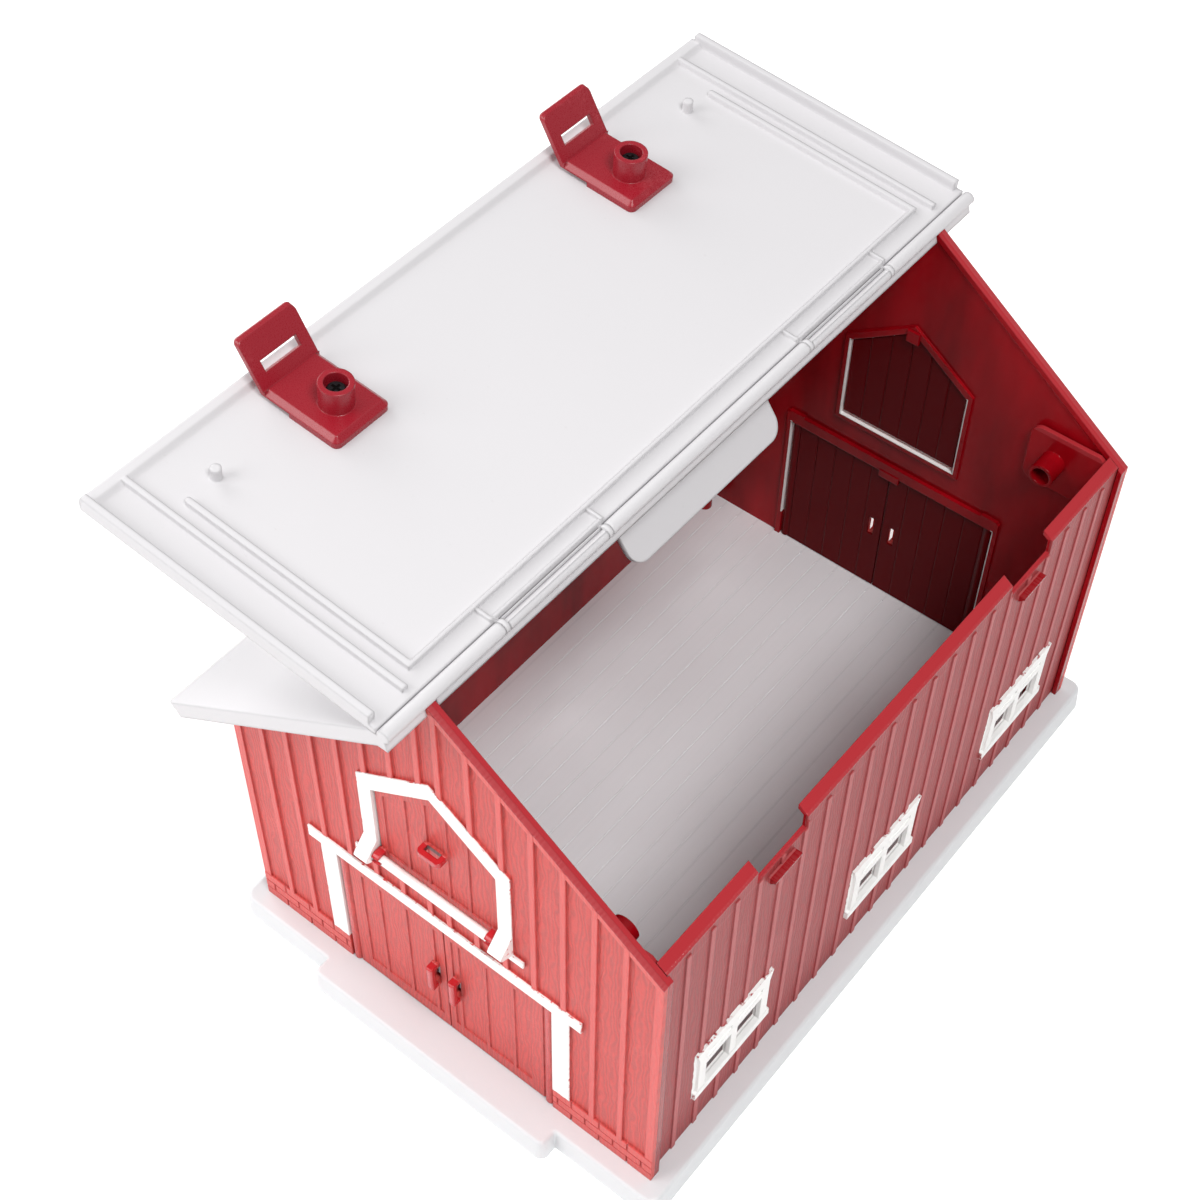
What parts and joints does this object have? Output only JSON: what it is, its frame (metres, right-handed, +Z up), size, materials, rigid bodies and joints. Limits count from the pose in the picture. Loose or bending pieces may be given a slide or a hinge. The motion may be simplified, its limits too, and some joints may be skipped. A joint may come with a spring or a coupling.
{
  "type": "toy barn",
  "caption": "Toy barn with a swing-open roof half, double doors and a loft hatch at both gable ends, side windows and roof latches.",
  "frame": {"origin": "middle of the base, on the plane it stands on", "axes": "+Z up, +Y along the ridge from the front doors to the rear doors, +X to the right seen from the front"},
  "size_m": [0.2425, 0.337, 0.2599],
  "materials": {
    "base_white": "satin moulded plastic",
    "wall_red": "satin moulded plastic with painted trim",
    "roof_white": "satin moulded plastic",
    "latch_red": "satin moulded plastic",
    "door_red": "satin moulded plastic",
    "screw_black": "blackened steel"
  },
  "bodies": {
    "shell": {"base": "base_white", "front_wall": "wall_red", "rear_wall": "wall_red", "left_wall": "wall_red", "right_wall": "wall_red", "roof_left": "roof_white", "roof_clip_front": "latch_red", "roof_clip_rear": "latch_red", "roof_clip_screws": "screw_black", "corner_screws": "screw_black", "base_screws": "screw_black"},
    "roof_flap": {"roof_right": "roof_white", "latch_front": "latch_red", "latch_rear": "latch_red", "latch_screws": "screw_black"},
    "front_left_leaf": {"front_door_left": "door_red"},
    "front_right_leaf": {"front_door_right": "door_red"},
    "rear_left_leaf": {"rear_door_left": "door_red"},
    "rear_right_leaf": {"rear_door_right": "door_red"},
    "front_loft_leaf": {"front_loft_door": "door_red"},
    "rear_loft_leaf": {"rear_loft_door": "door_red"}
  },
  "joints": [
    {"name": "roof_hinge", "type": "hinge", "parent": "shell", "child": "roof_flap", "pos_m": [0.0015, 0, 0.2265], "axis": [0, 1, 0], "range_deg": [0, 210.3]},
    {"name": "front_left_door_hinge", "type": "hinge", "parent": "shell", "child": "front_left_leaf", "pos_m": [-0.0501, -0.148, 0.011], "axis": [0, 0, -1], "range_deg": [0, 110]},
    {"name": "front_right_door_hinge", "type": "hinge", "parent": "shell", "child": "front_right_leaf", "pos_m": [0.0501, -0.148, 0.011], "axis": [0, 0, 1], "range_deg": [0, 110]},
    {"name": "rear_left_door_hinge", "type": "hinge", "parent": "shell", "child": "rear_left_leaf", "pos_m": [-0.0501, 0.148, 0.011], "axis": [0, 0, 1], "range_deg": [0, 110]},
    {"name": "rear_right_door_hinge", "type": "hinge", "parent": "shell", "child": "rear_right_leaf", "pos_m": [0.0501, 0.148, 0.011], "axis": [0, 0, -1], "range_deg": [0, 110]},
    {"name": "front_loft_hinge", "type": "hinge", "parent": "shell", "child": "front_loft_leaf", "pos_m": [0, -0.1516, 0.111], "axis": [1, 0, 0], "range_deg": [0, 170]},
    {"name": "rear_loft_hinge", "type": "hinge", "parent": "shell", "child": "rear_loft_leaf", "pos_m": [0, 0.1516, 0.111], "axis": [-1, 0, 0], "range_deg": [0, 170]}
  ]
}
